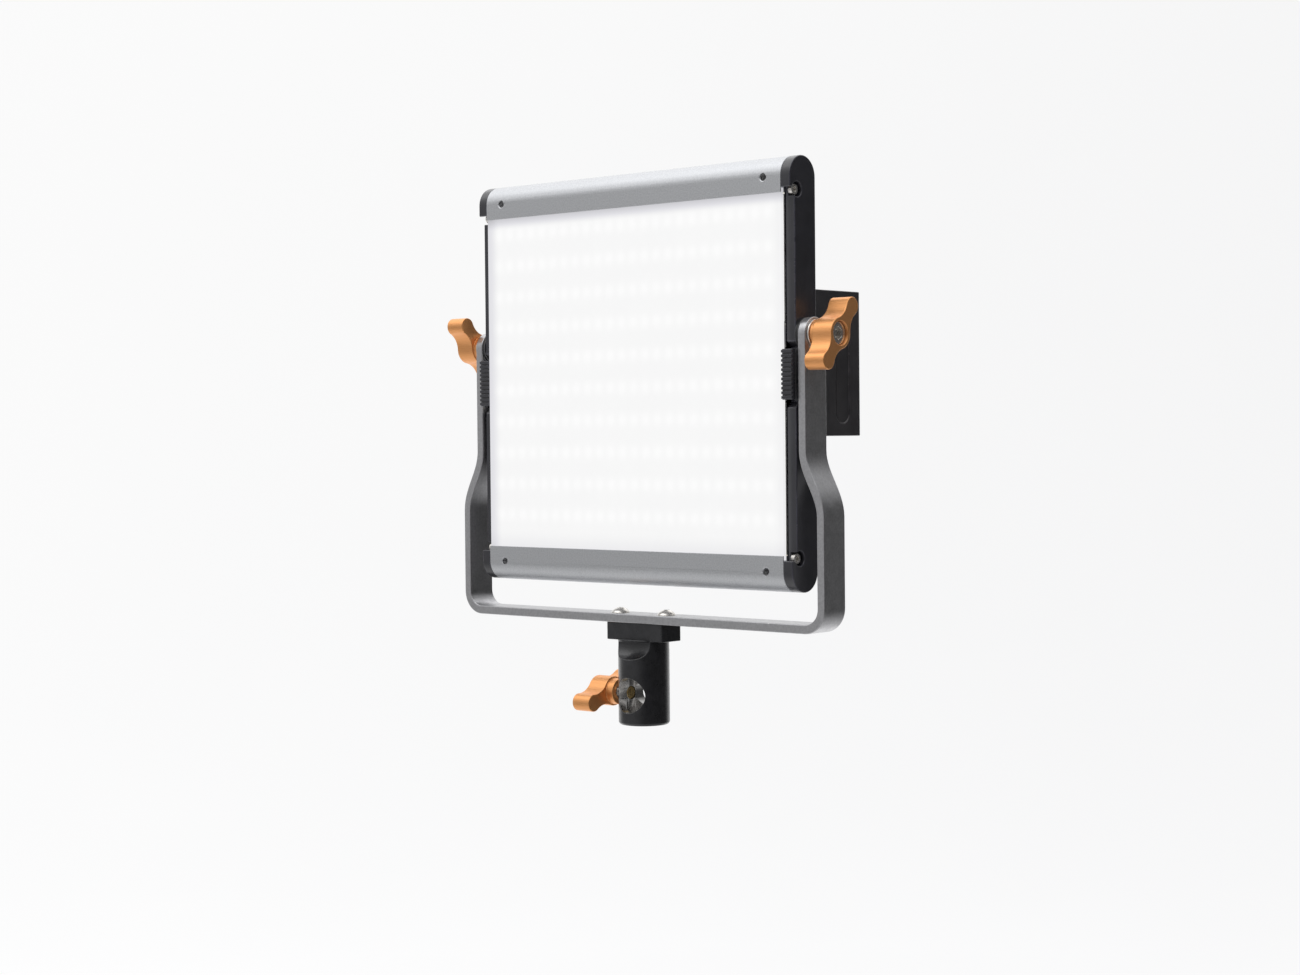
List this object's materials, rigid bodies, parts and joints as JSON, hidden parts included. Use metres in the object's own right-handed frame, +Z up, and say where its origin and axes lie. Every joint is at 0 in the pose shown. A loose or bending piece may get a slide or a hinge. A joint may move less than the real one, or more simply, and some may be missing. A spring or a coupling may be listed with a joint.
{
  "type": "led panel light",
  "caption": "Slim square light panel with a sliding diffuser, tilting in a U bracket on a stand receiver, with slide-on battery packs and a control console behind.",
  "frame": {"origin": "centre of the stand socket's mouth, on the socket's axis", "axes": "+Z up along the socket and the bracket's arms, the lit face looks to -Y, +X is to the right of a person who looks at the lit face; the tilt axis is parallel to X"},
  "size_m": [0.23, 0.0941, 0.2544],
  "materials": {
    "bracket_paint": "satin gunmetal",
    "receiver_black": "black anodised, satin",
    "nickel": "nickel plated screws",
    "brass": "machined",
    "orange_anodised": "orange anodised, fine turned",
    "rail_aluminium": "bead blasted, satin",
    "black_plastic": "moulded, fine grain",
    "pack_plastic": "moulded, satin",
    "rubber_black": "matt",
    "board_white": "white solder mask",
    "board_green": "green solder mask",
    "cool_light": "lit cool diodes",
    "warm_light": "unlit warm diodes",
    "diffuser_white": "milky sheet, lit from behind",
    "plain_aluminium": "mill finish",
    "display_glass": "dark window",
    "dark_part": "dark component",
    "cell_wrap": "shrink wrap"
  },
  "bodies": {
    "bracket": {"u_bracket": "bracket_paint", "stand_receiver": "receiver_black", "bracket_screws": "nickel"},
    "clamp_tip": {"clamp_pad": "brass"},
    "clamp_knob": {"clamp_knob": "orange_anodised", "clamp_screw": "nickel"},
    "head": {"top_rail": "rail_aluminium", "bottom_rail": "rail_aluminium", "side_plate_left": "black_plastic", "side_plate_right": "black_plastic", "rail_screws": "nickel", "led_board": "board_white", "cool_leds": "cool_light", "warm_leds": "warm_light", "heat_plate": "plain_aluminium", "back_cover": "black_plastic", "cover_screws": "nickel", "console_housing": "black_plastic", "console_screws": "nickel", "display_window": "display_glass", "display_module": "dark_part", "driver_board": "board_green", "dial_sensors": "dark_part", "switch_frame": "black_plastic", "dc_socket": "dark_part", "dc_pin": "brass", "battery_plate_left": "black_plastic", "battery_plate_right": "black_plastic", "battery_contacts": "brass", "plate_screws": "nickel", "pivot_inserts": "brass", "friction_washers": "rubber_black"},
    "washer_left": {"knob_washer_left": "nickel"},
    "washer_right": {"knob_washer_right": "nickel"},
    "tilt_knob_left": {"tilt_knob_left": "orange_anodised", "tilt_screw_left": "nickel"},
    "tilt_knob_right": {"tilt_knob_right": "orange_anodised", "tilt_screw_right": "nickel"},
    "diffuser": {"diffuser_sheet": "diffuser_white", "diffuser_grip_left": "black_plastic", "diffuser_grip_right": "black_plastic"},
    "brightness_dial": {"brightness_dial": "black_plastic", "brightness_shaft": "nickel"},
    "colour_dial": {"colour_dial": "black_plastic", "colour_shaft": "nickel"},
    "power_switch": {"power_rocker": "dark_part"},
    "battery_left": {"battery_case_left": "pack_plastic", "battery_lid_left": "pack_plastic", "battery_cells_left": "cell_wrap"},
    "battery_right": {"battery_case_right": "pack_plastic", "battery_lid_right": "pack_plastic", "battery_cells_right": "cell_wrap"},
    "release_left": {"release_button_left": "dark_part"},
    "release_right": {"release_button_right": "dark_part"}
  },
  "joints": [
    {"name": "head_tilt", "type": "hinge", "parent": "bracket", "child": "head", "pos_m": [0, 0, 0.1767], "axis": [-1, 0, 0], "continuous": true},
    {"name": "clamp_travel", "type": "slide", "parent": "bracket", "child": "clamp_tip", "axis": [1, 0, 0], "range_m": [-0.004, 0.0005]},
    {"name": "clamp_turn", "type": "hinge", "parent": "clamp_tip", "child": "clamp_knob", "pos_m": [-0.0165, 0, 0.0139], "axis": [1, 0, 0], "range_deg": [-1440, 180]},
    {"name": "right_knob_travel", "type": "slide", "parent": "head", "child": "washer_right", "axis": [1, 0, 0], "range_m": [0, 0.003]},
    {"name": "right_knob_turn", "type": "hinge", "parent": "washer_right", "child": "tilt_knob_right", "pos_m": [0.108, 0, 0.1767], "axis": [1, 0, 0], "range_deg": [0, 1080]},
    {"name": "left_knob_travel", "type": "slide", "parent": "head", "child": "washer_left", "axis": [-1, 0, 0], "range_m": [0, 0.003]},
    {"name": "left_knob_turn", "type": "hinge", "parent": "washer_left", "child": "tilt_knob_left", "pos_m": [-0.108, 0, 0.1767], "axis": [-1, 0, 0], "range_deg": [0, 1080]},
    {"name": "diffuser_slide", "type": "slide", "parent": "head", "child": "diffuser", "axis": [1, 0, 0], "range_m": [-0.0138, 0.008]},
    {"name": "brightness_turn", "type": "hinge", "parent": "head", "child": "brightness_dial", "pos_m": [0.0125, 0.03, 0.1624], "axis": [0, 1, 0], "range_deg": [-150, 150]},
    {"name": "colour_turn", "type": "hinge", "parent": "head", "child": "colour_dial", "pos_m": [-0.0125, 0.03, 0.1624], "axis": [0, 1, 0], "range_deg": [-150, 150]},
    {"name": "power_rock", "type": "hinge", "parent": "head", "child": "power_switch", "pos_m": [0, 0.0255, 0.1354], "axis": [1, 0, 0], "range_deg": [0, 14]},
    {"name": "left_pack_slide", "type": "slide", "parent": "head", "child": "battery_left", "axis": [0, 0, 1], "range_m": [0, 0.014]},
    {"name": "right_pack_slide", "type": "slide", "parent": "head", "child": "battery_right", "axis": [0, 0, 1], "range_m": [0, 0.014]},
    {"name": "left_release_press", "type": "slide", "parent": "head", "child": "release_left", "axis": [0, -1, 0], "range_m": [0, 0.002], "stiffness_N_per_m": 300},
    {"name": "right_release_press", "type": "slide", "parent": "head", "child": "release_right", "axis": [0, -1, 0], "range_m": [0, 0.002], "stiffness_N_per_m": 300}
  ],
  "couplings": [
    {"joint": "clamp_turn", "follows": "clamp_travel", "rad_per_m": 6283.2},
    {"joint": "right_knob_turn", "follows": "right_knob_travel", "rad_per_m": 6283.2},
    {"joint": "left_knob_turn", "follows": "left_knob_travel", "rad_per_m": 6283.2}
  ]
}
